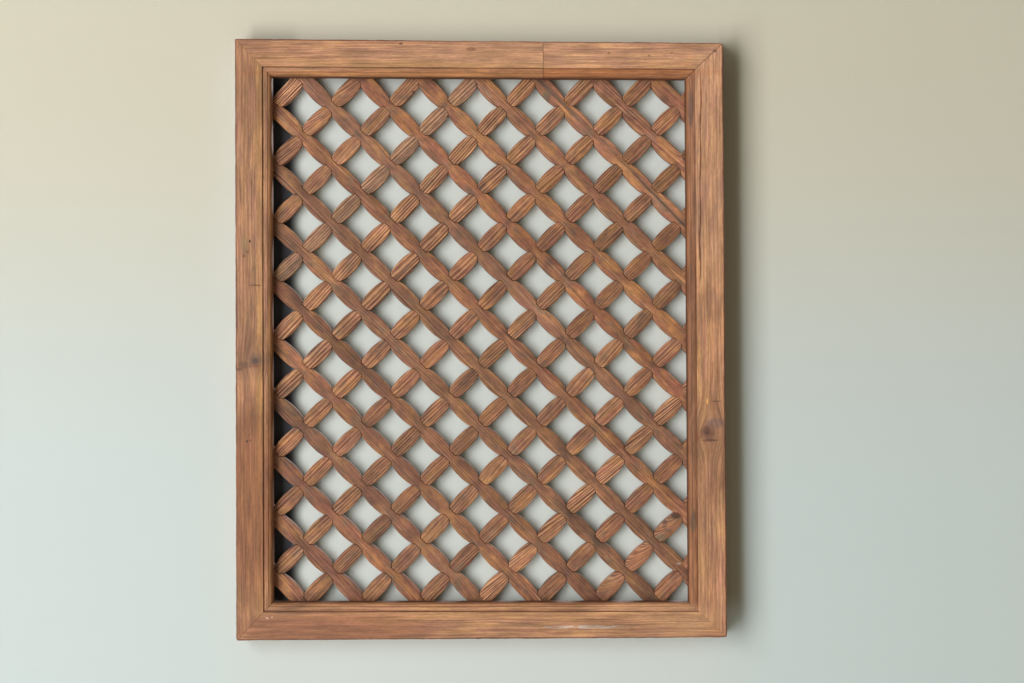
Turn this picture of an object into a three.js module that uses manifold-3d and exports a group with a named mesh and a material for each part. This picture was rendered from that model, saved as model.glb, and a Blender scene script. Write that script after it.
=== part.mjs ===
// A framed lattice screen for a wall, in reclaimed hardwood: scalloped slats cross on the diagonal,
// half lapped into each other, and stand in the rebate of a mitred frame with a moulded inner edge.
//
// Millimetres. X runs to the right, Y runs back into the wall, and Z runs up. The origin is on the
// flat back of the top rail, on the panel's centre line, where the screen is screwed to a wall.

import * as THREE from "three";
import { mergeVertices } from "three/addons/utils/BufferGeometryUtils.js";
import Module from "manifold-3d";

const wasm = await Module();
wasm.setup();

// ---------------------------------------------------------------- driving dimensions

const holeDiagonal = 72.35; // one square hole of the lattice, from corner to corner of its centre lines
const holesAcross = 7;
const holesDown = 9;

const bellyHalf = 10; // half the width of a slat in the middle of a bay
const shoulderHalf = 7.8; // half its width where it meets the slats that cross it
const slatThickness = 12;

const panelDepth = 32; // front of the frame to the wall
const lipDepth = 19; // thickness of the moulded lip that covers the slats' ends
const rebateWidth = 6.5; // how far the rebate behind the lip is cut into each member
const leftStileWidth = 44.5;
const rightStileWidth = 46.5;
const openingWidth = 511;
const openingHeight = 646.5;
const railFall = 3.5; // the rails were set a little out of level, and fall this much to the right

const topRailWidthLeft = 46; // the rails taper, and are narrower at their right ends
const topRailWidthRight = 44;
const bottomRailWidthLeft = 46;
const bottomRailWidthRight = 43.5;
const topRailJoint = 78; // where the two lengths of the top rail meet, right of the centre line

const arris = 2; // the chamfer along the frame's outer front edge
const fitGap = 0.3; // clearance between pieces that touch

// ---------------------------------------------------------------- places worked out from them

const crossingStep = holeDiagonal / 2; // crossings stand on a grid of this step, on every other point
const columns = 2 * holesAcross;
const rows = 2 * holesDown;
const slatPitch = holeDiagonal / Math.SQRT2; // from one crossing to the next along a slat
const jointHalf = shoulderHalf + fitGap; // half the length of a half lap
const diagonal = Math.PI / 4;

const frontOfFrame = -panelDepth;
const backOfLip = frontOfFrame + lipDepth;
const frontOfSlats = backOfLip + fitGap;
const backOfSlats = frontOfSlats + slatThickness;
const middleOfSlats = (frontOfSlats + backOfSlats) / 2;

const panelWidth = leftStileWidth + openingWidth + rightStileWidth;
const panelLeft = -panelWidth / 2;
const panelRight = panelWidth / 2;
const openingLeft = panelLeft + leftStileWidth;
const openingRight = panelRight - rightStileWidth;
const openingTop = -20.3; // at the left end of the top rail; its middle is then level with the origin
const openingBottom = openingTop - openingHeight;

const corner = (x, z) => new THREE.Vector2(x, z);

const opening = {
  topLeft: corner(openingLeft, openingTop),
  topRight: corner(openingRight, openingTop - railFall),
  bottomLeft: corner(openingLeft, openingBottom),
  bottomRight: corner(openingRight, openingBottom - railFall),
};

const outside = {
  topLeft: corner(panelLeft, openingTop + topRailWidthLeft),
  topRight: corner(panelRight, openingTop - railFall + topRailWidthRight),
  bottomLeft: corner(panelLeft, openingBottom - bottomRailWidthLeft),
  bottomRight: corner(panelRight, openingBottom - railFall - bottomRailWidthRight),
};

// The lattice is square and level, and was let in a little to the left of the opening's middle.
const latticeShift = -2.5;
const latticeRise = 0.5;
const latticeCentreX = (openingLeft + openingRight) / 2 + latticeShift;
const latticeCentreZ = openingTop - railFall / 2 - openingHeight / 2 + latticeRise;
const latticeLeft = latticeCentreX - (columns * crossingStep) / 2;
const latticeTop = latticeCentreZ + (rows * crossingStep) / 2;
const latticeBottom = latticeCentreZ - (rows * crossingStep) / 2;

// The slats' ends are trimmed to one upright rectangle that reaches into the rebate on all sides.
const trimInside = 1; // left free inside the rebate at the sides
const trimLeft = openingLeft - rebateWidth + trimInside;
const trimRight = openingRight + rebateWidth - trimInside;
const trimPast = 1.3; // past the last crossings, above and below
const trimTop = latticeTop + trimPast;
const trimBottom = latticeBottom - trimPast;

// ---------------------------------------------------------------- solids

function solidFrom(geometry) {
  geometry.deleteAttribute("normal");
  geometry.deleteAttribute("uv");
  const merged = mergeVertices(geometry, 1e-5);
  const vertProperties = new Float32Array(merged.attributes.position.array);
  const triVerts = new Uint32Array(merged.index.array);
  return new wasm.Manifold(new wasm.Mesh({ numProp: 3, vertProperties, triVerts }));
}

function geometryFrom(solid) {
  const mesh = solid.getMesh();
  const geometry = new THREE.BufferGeometry();
  geometry.setAttribute("position", new THREE.BufferAttribute(mesh.vertProperties, 3));
  geometry.setIndex(new THREE.BufferAttribute(mesh.triVerts, 1));
  geometry.computeVertexNormals();
  return geometry;
}

// A prism on an outline of (x, z) points in the panel's plane, filled from front to back.
function prism(points, front, back) {
  const geometry = new THREE.ExtrudeGeometry(new THREE.Shape(points), {
    depth: back - front,
    bevelEnabled: false,
  });
  geometry.rotateX(Math.PI / 2);
  geometry.translate(0, back, 0);
  return solidFrom(geometry);
}

// A profile run along the line from start to end, and past both by overrun. The profile's points are
// (outward, y): outward is measured from the line, to the right of someone walking along it.
function moulding(profile, start, end, overrun) {
  const along = end.clone().sub(start).normalize();
  const outward = corner(along.y, -along.x);
  const first = start.clone().addScaledVector(along, -overrun);
  const geometry = new THREE.ExtrudeGeometry(new THREE.Shape(profile), {
    depth: start.distanceTo(end) + 2 * overrun,
    bevelEnabled: false,
  });
  const place = new THREE.Matrix4().makeBasis(
    new THREE.Vector3(outward.x, 0, outward.y),
    new THREE.Vector3(0, 1, 0),
    new THREE.Vector3(along.x, 0, along.y),
  );
  place.setPosition(first.x, 0, first.y);
  geometry.applyMatrix4(place);
  return solidFrom(geometry);
}

// ---------------------------------------------------------------- materials

const wood = (colour) => new THREE.MeshStandardMaterial({
  color: colour,
  roughness: 0.78,
  metalness: 0,
  flatShading: true,
});

const frameWood = wood("#b38565");
const fallingWood = wood("#90654c");
const risingWood = wood("#976c52");

function piece(name, solid, material) {
  const mesh = new THREE.Mesh(geometryFrom(solid), material);
  mesh.name = name;
  return mesh;
}

// ---------------------------------------------------------------- the frame

const mouldingWidth = 11; // the moulded band along the inner edge
const quirkDepth = 2.2; // the step from the flat face down to the band
const noseWidth = 4.6;
const noseStep = 1; // a second, smaller step from the band down to the rounded nose
const noseEnd = 11; // how far behind the front the nose has turned into the inner face
const blankWidth = 60; // wider than any member, before its outer edge is cut

// The section of a member: outward from the opening's edge, and y.
function memberSection() {
  const section = [
    corner(blankWidth, 0),
    corner(blankWidth, frontOfFrame),
    corner(mouldingWidth, frontOfFrame),
    corner(mouldingWidth, frontOfFrame + quirkDepth),
    corner(noseWidth, frontOfFrame + quirkDepth),
  ];
  const noseSteps = 4;
  const noseTop = quirkDepth + noseStep;
  for (let step = 0; step <= noseSteps; step += 1) {
    const turn = (step / noseSteps) * (Math.PI / 2);
    const outward = noseWidth * (1 - Math.sin(turn));
    const behind = noseEnd - (noseEnd - noseTop) * Math.cos(turn);
    section.push(corner(outward, frontOfFrame + behind));
  }
  section.push(corner(0, backOfLip));
  section.push(corner(rebateWidth, backOfLip));
  section.push(corner(rebateWidth, 0));
  return section;
}

// One member of the frame, between two corners of the opening, walking with the opening on the left.
// Its ends are cut on the lines that join the opening's corners to the frame's.
function member(innerStart, innerEnd, outerStart, outerEnd) {
  const blank = moulding(memberSection(), innerStart, innerEnd, blankWidth);
  const along = innerEnd.clone().sub(innerStart).normalize();
  const clear = fitGap / 2 / Math.sin(diagonal);
  const pastInner = 0.2; // carries each mitre a little past the inner corner, as a share of its length
  const mitre = (inner, outer, share, shift) => inner.clone()
    .lerp(outer, share)
    .addScaledVector(along, shift);
  const outline = [
    mitre(innerStart, outerStart, -pastInner, clear),
    mitre(innerEnd, outerEnd, -pastInner, -clear),
    mitre(innerEnd, outerEnd, 1, -clear),
    mitre(innerStart, outerStart, 1, clear),
  ];
  const cut = blank.intersect(prism(outline, frontOfFrame - 1, 1));
  const chamfer = [
    corner(-arris - 1, frontOfFrame - 1),
    corner(1, frontOfFrame - 1),
    corner(1, frontOfFrame + arris + 1),
  ];
  return cut.subtract(moulding(chamfer, outerStart, outerEnd, blankWidth));
}

// Keeps what lies between two upright planes, at left and at right.
function between(solid, left, right) {
  const outline = [
    corner(left, outside.bottomLeft.y - blankWidth),
    corner(right, outside.bottomLeft.y - blankWidth),
    corner(right, outside.topLeft.y + blankWidth),
    corner(left, outside.topLeft.y + blankWidth),
  ];
  return solid.intersect(prism(outline, frontOfFrame - 1, 1));
}

const topRail = member(opening.topRight, opening.topLeft, outside.topRight, outside.topLeft);
const topRailLeft = between(topRail, panelLeft, topRailJoint - fitGap / 2);
const topRailRight = between(topRail, topRailJoint + fitGap / 2, panelRight);
const leftStile = member(opening.topLeft, opening.bottomLeft, outside.topLeft, outside.bottomLeft);
const bottomRail = member(
  opening.bottomLeft,
  opening.bottomRight,
  outside.bottomLeft,
  outside.bottomRight,
);
const rightStile = member(opening.bottomRight, opening.topRight, outside.bottomRight, outside.topRight);

const frame = new THREE.Group();
frame.add(piece("left_stile", leftStile, frameWood));
frame.add(piece("right_stile", rightStile, frameWood));
frame.add(piece("bottom_rail", bottomRail, frameWood));
frame.add(piece("top_rail_left", topRailLeft, frameWood));
frame.add(piece("top_rail_right", topRailRight, frameWood));

// ---------------------------------------------------------------- the lattice

const overrun = 30; // length left on each end of a slat before it is trimmed

// One edge of a slat, in its own axes: straight past each crossing, and swelling in each bay.
function slatEdge(bays, side) {
  const points = [corner(-overrun, side * shoulderHalf)];
  for (let bay = 0; bay < bays; bay += 1) {
    const start = bay * slatPitch;
    points.push(corner(start + jointHalf, side * shoulderHalf));
    points.push(corner(start + slatPitch / 2, side * bellyHalf));
    points.push(corner(start + slatPitch - jointHalf, side * shoulderHalf));
  }
  points.push(corner(bays * slatPitch + overrun, side * shoulderHalf));
  return points;
}

// The trimming rectangle's corners, in the axes of a slat that starts at (x, z) and is turned.
function trimOutline(x, z, turn) {
  const corners = [
    corner(trimLeft, trimBottom),
    corner(trimRight, trimBottom),
    corner(trimRight, trimTop),
    corner(trimLeft, trimTop),
  ];
  return corners.map((point) => point.sub(corner(x, z)).rotateAround(corner(0, 0), -turn));
}

// A slat from its first crossing at (x, z). Its local X runs along it. lapFront and lapBack are the
// limits in depth of what is cut away at each crossing to let the other slats through.
function slat(name, x, z, turn, bays, lapFront, lapBack, material) {
  const outline = [...slatEdge(bays, -1), ...slatEdge(bays, 1).reverse()];
  let solid = prism(outline, frontOfSlats, backOfSlats);
  for (let crossing = 0; crossing <= bays; crossing += 1) {
    const centre = crossing * slatPitch;
    const lap = [
      corner(centre - jointHalf, -bellyHalf),
      corner(centre + jointHalf, -bellyHalf),
      corner(centre + jointHalf, bellyHalf),
      corner(centre - jointHalf, bellyHalf),
    ];
    solid = solid.subtract(prism(lap, lapFront, lapBack));
  }
  solid = solid.intersect(prism(trimOutline(x, z, turn), frontOfSlats - 1, backOfSlats + 1));
  const mesh = piece(name, solid, material);
  mesh.position.set(x, 0, z);
  mesh.rotation.y = -turn;
  return mesh;
}

const lattice = new THREE.Group();
const slatCount = (columns + rows) / 2;
const numbered = (name, index) => `${name}_${String(index + 1).padStart(2, "0")}`;

// Where a slat's first crossing is, in columns from the left and in rows from the corner that its
// direction starts from. The first crossings of the slats go along the left edge towards that corner,
// and then along the top or the bottom away from it.
function firstCrossing(index) {
  const fromCorner = rows - 1 - 2 * index;
  const column = Math.max(0, -fromCorner);
  const row = Math.max(0, fromCorner);
  return { column, row, bays: Math.min(columns - column, rows - row) };
}

for (let index = 0; index < slatCount; index += 1) {
  const { column, row, bays } = firstCrossing(index);
  const x = latticeLeft + column * crossingStep;

  // Falling slats run down to the right. They are whole in front, and lapped from behind.
  const fallingStart = latticeTop - row * crossingStep;
  const fallingLap = middleOfSlats - fitGap / 2;
  const falling = numbered("falling_slat", index);
  lattice.add(slat(falling, x, fallingStart, -diagonal, bays, fallingLap, backOfSlats + 1, fallingWood));

  // Rising slats run up to the right. They are whole behind, and lapped from the front.
  const risingStart = latticeBottom + row * crossingStep;
  const risingLap = middleOfSlats + fitGap / 2;
  const rising = numbered("rising_slat", index);
  lattice.add(slat(rising, x, risingStart, diagonal, bays, frontOfSlats - 1, risingLap, risingWood));
}

const screen = new THREE.Group();
screen.add(frame);
screen.add(lattice);

export default screen;
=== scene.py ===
# %% [markdown]
# # A lattice screen in reclaimed hardwood
#
# Thirty-two scalloped slats cross on the diagonal, half lapped into each other, inside a mitred frame
# with a moulded inner edge. The fixed solids from the CAD model give every size and place; this
# script makes the surfaces that a hand would feel: eased arrises, worn growth rings, splits and
# knots. Lengths are written in millimetres and turned to metres where Blender needs them.

import math

import bmesh
import bpy
import numpy as np
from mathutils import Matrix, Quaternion, Vector


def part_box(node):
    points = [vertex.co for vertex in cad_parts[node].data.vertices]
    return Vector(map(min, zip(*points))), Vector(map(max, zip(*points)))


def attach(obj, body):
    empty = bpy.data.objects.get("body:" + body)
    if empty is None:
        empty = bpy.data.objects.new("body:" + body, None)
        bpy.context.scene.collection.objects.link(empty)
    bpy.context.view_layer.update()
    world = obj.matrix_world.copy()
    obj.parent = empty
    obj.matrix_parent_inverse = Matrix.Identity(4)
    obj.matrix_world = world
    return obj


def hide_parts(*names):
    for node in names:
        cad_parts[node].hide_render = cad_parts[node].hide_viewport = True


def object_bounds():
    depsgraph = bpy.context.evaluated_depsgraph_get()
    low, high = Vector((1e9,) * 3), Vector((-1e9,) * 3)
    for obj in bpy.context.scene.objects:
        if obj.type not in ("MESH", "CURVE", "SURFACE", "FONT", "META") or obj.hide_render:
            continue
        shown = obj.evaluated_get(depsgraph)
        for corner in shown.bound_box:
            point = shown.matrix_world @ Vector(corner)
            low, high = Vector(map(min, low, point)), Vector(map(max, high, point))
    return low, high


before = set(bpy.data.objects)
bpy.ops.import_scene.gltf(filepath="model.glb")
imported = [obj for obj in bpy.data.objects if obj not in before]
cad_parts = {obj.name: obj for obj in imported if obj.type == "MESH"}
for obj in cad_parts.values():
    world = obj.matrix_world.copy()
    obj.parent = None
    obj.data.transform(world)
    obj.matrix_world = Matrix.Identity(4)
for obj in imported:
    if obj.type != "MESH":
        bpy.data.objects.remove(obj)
cad_low, cad_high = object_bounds()
MM = 0.001
print("solids:", len(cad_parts), "box (mm):", [round(v / MM, 1) for v in cad_high - cad_low])

# %% [markdown]
# ## Where everything is
#
# The opening's corners come from the boxes of the frame's members. The rails fall a little to the
# right, so each box gives one end of a rail exactly and the fall gives the other.

# %% Corners of the opening and of the frame
RAIL_FALL = 3.5


def box_mm(node):
    """A solid's lowest and highest corners, in millimetres."""
    low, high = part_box(node)
    return low / MM, high / MM


left_low, left_high = box_mm("left_stile")
right_low, right_high = box_mm("right_stile")
_, bottom_high = box_mm("bottom_rail")
top_low, _ = box_mm("top_rail_right")
slat_low, slat_high = box_mm("falling_slat_08")

inner = {
    "top_left": np.array([left_high.x, top_low.z + RAIL_FALL]),
    "top_right": np.array([right_low.x, top_low.z]),
    "bottom_left": np.array([left_high.x, bottom_high.z]),
    "bottom_right": np.array([right_low.x, bottom_high.z - RAIL_FALL]),
}
outer = {
    "top_left": np.array([left_low.x, left_high.z]),
    "top_right": np.array([right_high.x, right_high.z]),
    "bottom_left": np.array([left_low.x, left_low.z]),
    "bottom_right": np.array([right_high.x, right_low.z]),
}
RAIL_JOINT = top_low.x
FRONT = cad_low.y / MM
BACK = cad_high.y / MM
print("opening (mm):", {name: place.round(1).tolist() for name, place in inner.items()})

# %% [markdown]
# ## Small helpers
#
# A node tree in a script is easiest to read when each node is one call, with its settings and what
# goes into it side by side. The same call serves Geometry Nodes and shader trees.

# %% One way to add a node
MATH = "ShaderNodeMath"
VECTOR_MATH = "ShaderNodeVectorMath"
NOISE = "ShaderNodeTexNoise"
MAP_RANGE = "ShaderNodeMapRange"
SEPARATE = "ShaderNodeSeparateXYZ"
ATTRIBUTE = "ShaderNodeAttribute"
MIX = "ShaderNodeMix"
MULTIPLY = {"operation": "MULTIPLY"}
MULTIPLY_ADD = {"operation": "MULTIPLY_ADD"}
SMOOTH = {"interpolation_type": "SMOOTHSTEP"}
ALONG_A_LINE = {"noise_dimensions": "1D"}
OF_COLOURS = {"data_type": "RGBA"}


def add_node(tree, kind, settings=None, inputs=None):
    """Adds a node with its settings. An input is a value, a socket, or a node's first output."""
    node = tree.nodes.new(kind)
    for name, value in (settings or {}).items():
        setattr(node, name, value)
    for name, value in (inputs or {}).items():
        if isinstance(value, bpy.types.Node):
            value = value.outputs[0]
        if isinstance(value, bpy.types.NodeSocket):
            tree.links.new(value, node.inputs[name])
        else:
            node.inputs[name].default_value = value
    return node


def linear(hex_colour):
    """An sRGB hex colour as the linear values that shaders work in."""
    channels = [int(hex_colour[start:start + 2], 16) / 255 for start in (1, 3, 5)]
    curve = [c / 12.92 if c <= 0.04045 else ((c + 0.055) / 1.055) ** 2.4 for c in channels]
    return (*curve, 1.0)


# %% [markdown]
# ## Growth rings, once for the shape and once for the colour
#
# Old wood wears unevenly: the soft early wood of each year rubs away, and the hard late wood
# stands proud. The grooves in the mesh and the dark lines in the colour are the same thing, so one
# function adds the same nodes to either kind of tree. They read an attribute named grain, a place
# in the board in millimetres: along the fibres, across them, and into the depth. In the colour the
# dark lines are the rings' own colour with painted shade in the grooves, and the ridges between
# them carry a painted highlight.
# Noise on the same grain gives clouds of soft patches. A cloud is given as its length and width in
# millimetres, the noise where it starts and where it is full, its amount, and a place of its own.

# %% Growth rings and fibres as nodes
BEND_SCALE = (1 / 170, 1 / 34, 1 / 34)
RING_SLOPE = 0.45
LINE_CORE = 0.47
FADED_LENGTHS = (55, 6, 0.3, 0.52, 1, 17)


def patches(tree, grain, along, across, start, full, amount, place):
    """A cloud of soft patches: 0 where the noise is below start, and the amount above full."""
    size = (1 / along, 1 / across, 1 / across)
    scaled = add_node(tree, VECTOR_MATH, MULTIPLY_ADD, {0: grain, 1: size, 2: [place] * 3})
    noise = add_node(tree, NOISE, {}, {"Vector": scaled, "Scale": 1.0, "Detail": 3.0})
    fade = {"Value": noise, "From Min": start, "From Max": full, "To Max": amount}
    return add_node(tree, MAP_RANGE, SMOOTH, fade)


def growth_rings(tree, grain, spacing, wander, sharpness):
    """Lines of early wood, 1 in the middle of each and 0 between, and the ridges between them."""
    stretched = add_node(tree, VECTOR_MATH, MULTIPLY, {0: grain, 1: BEND_SCALE})
    bend = add_node(tree, NOISE, {}, {"Vector": stretched, "Scale": 1.0, "Detail": 2.0})
    parts = add_node(tree, SEPARATE, {}, {0: grain}).outputs
    sloped = add_node(tree, MATH, MULTIPLY_ADD, {0: parts[2], 1: RING_SLOPE, 2: parts[1]})
    bent = add_node(tree, MATH, MULTIPLY_ADD, {0: bend, 1: wander, 2: sloped})
    years = add_node(tree, MATH, {"operation": "DIVIDE"}, {0: bent, 1: spacing})
    lean = add_node(tree, NOISE, ALONG_A_LINE, {"W": years, "Scale": 0.45, "Detail": 1.0})
    uneven = add_node(tree, MATH, MULTIPLY_ADD, {0: lean, 1: 1.5, 2: years})
    wave = add_node(tree, MATH, {"operation": "PINGPONG"}, {0: uneven, 1: 0.5})
    crest = {"Value": wave, "From Min": sharpness, "From Max": LINE_CORE}
    core = add_node(tree, MAP_RANGE, SMOOTH, crest)
    season = add_node(tree, NOISE, ALONG_A_LINE, {"W": uneven, "Scale": 0.9, "Detail": 0.0})
    dark_years = {"Value": season, "From Min": 0.3, "From Max": 0.62, "To Min": 0.15, "To Max": 1.0}
    strength = add_node(tree, MAP_RANGE, SMOOTH, dark_years)
    fading = patches(tree, grain, *FADED_LENGTHS)
    held = add_node(tree, MATH, MULTIPLY, {0: core, 1: strength})
    line = add_node(tree, MATH, MULTIPLY, {0: held, 1: fading})
    ridge = add_node(tree, MAP_RANGE, SMOOTH, {"Value": wave, "From Min": 0.26, "From Max": 0.04})
    return line, ridge


# %% [markdown]
# ## Closed shapes from rings
#
# A slat and a frame member are both a closed section carried along a line. The loft takes a grid of
# points, one row for each station and one column for each place on the section, and joins them.

# %% Loft a grid of points
def loft(name, points, attributes):
    """A mesh on points[station, place] (mm), closed round the section and open at its ends."""
    stations, places, _ = points.shape
    station = np.arange(stations - 1)[:, None] * places
    place = np.arange(places)[None, :]
    after = (place + 1) % places
    faces = np.stack(
        [station + place, station + after, station + places + after, station + places + place], -1
    ).reshape(-1, 4)
    flat = points.reshape(-1, 3)
    a, b, c, d = (flat[faces[:, corner]] for corner in range(4))
    outwards = (a + b + c + d) / 4 - np.repeat(points.mean(1)[:-1], places, 0)
    if (np.cross(c - a, d - b) * outwards).sum() < 0:
        faces = faces[:, ::-1]
    mesh = bpy.data.meshes.new(name)
    mesh.from_pydata((points.reshape(-1, 3) * MM).tolist(), [], faces.tolist())
    for attribute, values in attributes.items():
        kind = "FLOAT_VECTOR" if values.ndim == 3 else "FLOAT"
        field = "vector" if values.ndim == 3 else "value"
        layer = mesh.attributes.new(attribute, kind, "POINT")
        layer.data.foreach_set(field, values.astype(np.float32).ravel())
    return mesh


def add_object(name, mesh):
    """A new object at the origin, in the scene."""
    piece = bpy.data.objects.new(name, mesh)
    bpy.context.scene.collection.objects.link(piece)
    return piece


def run_tree(piece, tree, values):
    """Runs a Geometry Nodes tree on a piece, and keeps what it makes as a plain mesh."""
    modifier = piece.modifiers.new(tree.name, "NODES")
    modifier.node_group = tree
    for socket in tree.interface.items_tree:
        if socket.in_out == "INPUT" and socket.name in values:
            modifier[socket.identifier] = values[socket.name]
    evaluated = piece.evaluated_get(bpy.context.evaluated_depsgraph_get())
    mesh = bpy.data.meshes.new_from_object(evaluated)
    piece.modifiers.clear()
    piece.data = mesh
    return mesh


def cut_and_close(mesh, cuts=(), in_triangles=False):
    """Saws a shape off at each cut, fills its open ends, and points its faces outwards."""
    shape = bmesh.new()
    shape.from_mesh(mesh)
    for place, outwards in cuts:
        everything = shape.verts[:] + shape.edges[:] + shape.faces[:]
        saw = {"dist": 1e-6, "plane_co": place * MM, "plane_no": outwards, "clear_outer": True}
        bmesh.ops.bisect_plane(shape, geom=everything, **saw)
    open_edges = [edge for edge in shape.edges if edge.is_boundary]
    bmesh.ops.holes_fill(shape, edges=open_edges, sides=0)
    loose = [vertex for vertex in shape.verts if not vertex.link_faces]
    bmesh.ops.delete(shape, geom=loose, context="VERTS")
    if in_triangles:
        bmesh.ops.triangulate(shape, faces=[face for face in shape.faces if len(face.verts) > 4])
    bmesh.ops.recalc_face_normals(shape, faces=shape.faces)
    if shape.calc_volume(signed=True) < 0:
        bmesh.ops.reverse_faces(shape, faces=shape.faces)
    shape.to_mesh(mesh)
    shape.free()


def finish_mesh(mesh, values, smooth_angle=60.0):
    """Stores values that are the same all over a piece, and smooths all but its sharp edges."""
    for name, value in values.items():
        layer = mesh.attributes.get(name) or mesh.attributes.new(name, "FLOAT", "POINT")
        layer.data.foreach_set("value", np.full(len(mesh.vertices), value, np.float32))
    mesh.shade_smooth()
    mesh.set_sharp_from_angle(angle=math.radians(smooth_angle))


# %% [markdown]
# ## Old wood
#
# Reclaimed hardwood, planed long ago, worn and then oiled: brown with a red cast, lighter on the
# frame than on the slats. It gives the eye narrow dark lines of early wood, broad patches that lean
# red, yellow or grey, short fibres, and a soft sheen without clear highlights. Each of those is a
# mask, and the masks are laid over the ground colour one after the other. The marks come last: each
# is a colour, its middle (x, z), half its width and height, all in millimetres, and its amount.

# %% A wood finish from its coats
SPOT_DEPTH = 9.0
RING_COAT = 5
FIBRES = (26, 0.9, 0.3, 0.7, 1, 5)
FIBRE_RELIEF = 0.25
RINGS = {
    "slats": {"spacing": 3.2, "wander": 9.0, "sharpness": 0.2},
    "frame": {"spacing": 4.4, "wander": 13.0, "sharpness": 0.24},
}


def spot(tree, place, half_size):
    """A soft spot, 1 in its middle and 0 outside, at a place (x, y, z) in millimetres."""
    position = add_node(tree, "ShaderNodeTexCoord").outputs["Object"]
    place = [value * MM for value in place]
    size = (half_size[0] * MM, SPOT_DEPTH * MM, half_size[1] * MM)
    from_middle = add_node(tree, VECTOR_MATH, {"operation": "SUBTRACT"}, {0: position, 1: place})
    reach = add_node(tree, VECTOR_MATH, {"operation": "DIVIDE"}, {0: from_middle, 1: size})
    length = add_node(tree, VECTOR_MATH, {"operation": "LENGTH"}, {0: reach}).outputs["Value"]
    return add_node(tree, MAP_RANGE, SMOOTH, {"Value": length, "From Min": 1.25, "From Max": 0.6})


def coat_mask(tree, grain, attribute=None, cloud=None, place=None, half_size=None, amount=1.0):
    """The mask of one coat: an attribute, soft patches and an oval, all of them multiplied."""
    parts = []
    if attribute:
        parts.append(add_node(tree, ATTRIBUTE, {"attribute_name": attribute}).outputs["Fac"])
    if cloud:
        parts.append(patches(tree, grain, *cloud))
    if place:
        parts.append(spot(tree, place, half_size))
    mask = amount
    for part in parts:
        mask = add_node(tree, MATH, MULTIPLY, {0: part, 1: mask})
    return mask


def old_wood(name, colours, coats, marks, face, rings, contrasts, roughness):
    """A wood finish: its ground, lines and ridges, then coats and marks laid over them in turn."""
    material = bpy.data.materials.new(name)
    material.use_nodes = True
    tree = material.node_tree
    shader = tree.nodes["Principled BSDF"]
    grain = add_node(tree, ATTRIBUTE, {"attribute_name": "grain"}).outputs["Vector"]
    ridging = add_node(tree, ATTRIBUTE, {"attribute_name": "ridging"}).outputs["Fac"]
    tone = add_node(tree, ATTRIBUTE, {"attribute_name": "tone"}).outputs["Fac"]
    line, ridge = growth_rings(tree, grain, **rings)
    shown = add_node(tree, MATH, MULTIPLY, {0: line, 1: ridging})
    lit = add_node(tree, MATH, MULTIPLY, {0: ridge, 1: ridging})

    # The ridge colour is a painted highlight on the ridge tops; the line colour is the rings' own colour
    # with painted shade in their grooves.
    ground, line_colour, ridge_highlight_colour = colours
    coats = coats + [
        (hex_colour, {"place": (x, face, z), "half_size": half_size, "amount": amount})
        for hex_colour, (x, z), half_size, amount in marks
    ]
    laid_on = [(coat_mask(tree, grain, **mask), hex_colour) for hex_colour, mask in coats]
    laid_on[RING_COAT:RING_COAT] = [(lit, ridge_highlight_colour), (shown, line_colour)]
    colour = linear(ground)
    for mask, hex_colour in laid_on:
        coat = {0: mask, 6: colour, 7: linear(hex_colour)}
        colour = add_node(tree, MIX, OF_COLOURS, coat).outputs[2]
    for length, width, contrast in contrasts:
        noise = patches(tree, grain, length, width, 0.28, 0.72, 1, length)
        swing = {"Value": noise, "To Min": 1 - contrast, "To Max": 1 + contrast}
        tone = add_node(tree, MATH, MULTIPLY, {0: add_node(tree, MAP_RANGE, {}, swing), 1: tone})
    finished = add_node(tree, VECTOR_MATH, {"operation": "SCALE"}, {0: colour, "Scale": tone})
    tree.links.new(finished.outputs[0], shader.inputs["Base Color"])

    fibre = patches(tree, grain, *FIBRES)
    height = add_node(tree, MATH, MULTIPLY_ADD, {0: shown, 1: -0.8, 2: fibre})
    relief = {"Height": height, "Strength": 0.5, "Distance": FIBRE_RELIEF * MM}
    tree.links.new(add_node(tree, "ShaderNodeBump", {}, relief).outputs[0], shader.inputs["Normal"])
    shader.inputs["Roughness"].default_value = roughness
    return material


# %% The slats' wood
slat_marks = [
    ("#432f26", (241, -566), (7, 3.5), 0.85),
    ("#57433a", (227, -576), (3.2, 6), 0.5),
    ("#57433a", (231, -584), (5, 2.4), 0.5),
    ("#6e6a58", (222, -592), (7, 5), 0.55),
    ("#c9c0b4", (244, -625), (3.2, 1.3), 0.7),
    ("#5f5546", (83, -42), (5, 8), 0.7),
    ("#4d3a30", (-83, -37), (2.8, 1.8), 0.8),
    ("#6f5c4c", (-92, -44), (9, 4), 0.5),
    ("#6b4a38", (229, -50), (7, 8), 0.6),
]
slat_wood = old_wood(
    "oiled_old_hardwood_slats",
    # Ground, ring lines with painted shade in their grooves, and a painted highlight on the ridges.
    ("#9c6242", "#4f2e22", "#c9986f"),
    [
        ("#8b5545", {"attribute": "reddened"}),
        ("#ab7140", {"attribute": "yellowed"}),
        ("#8b5343", {"cloud": (26, 14, 0.4, 0.6, 0.75, 11)}),
        ("#b17943", {"cloud": (30, 11, 0.48, 0.64, 0.7, 23)}),
        ("#735a49", {"cloud": (22, 10, 0.54, 0.7, 0.7, 37)}),
        ("#5a382b", {"cloud": (60, 1.6, 0.55, 0.68, 0.55, 41)}),
        ("#c39b78", {"cloud": (46, 1.4, 0.56, 0.7, 0.45, 59)}),
        ("#85705f", {"attribute": "greyed"}),
        ("#5c463a", {"attribute": "joint", "cloud": (22, 16, 0.54, 0.66, 0.6, 53)}),
        ("#4d4038", {"attribute": "streak"}),
    ],
    slat_marks,
    slat_low.y,
    RINGS["slats"],
    [(70, 60, 0.24), (24, 14, 0.15), (9, 4, 0.15), (22, 1.1, 0.14), (2.2, 1.2, 0.09)],
    0.7,
)
print("slats' wood:", len(slat_wood.node_tree.nodes), "nodes")

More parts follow.
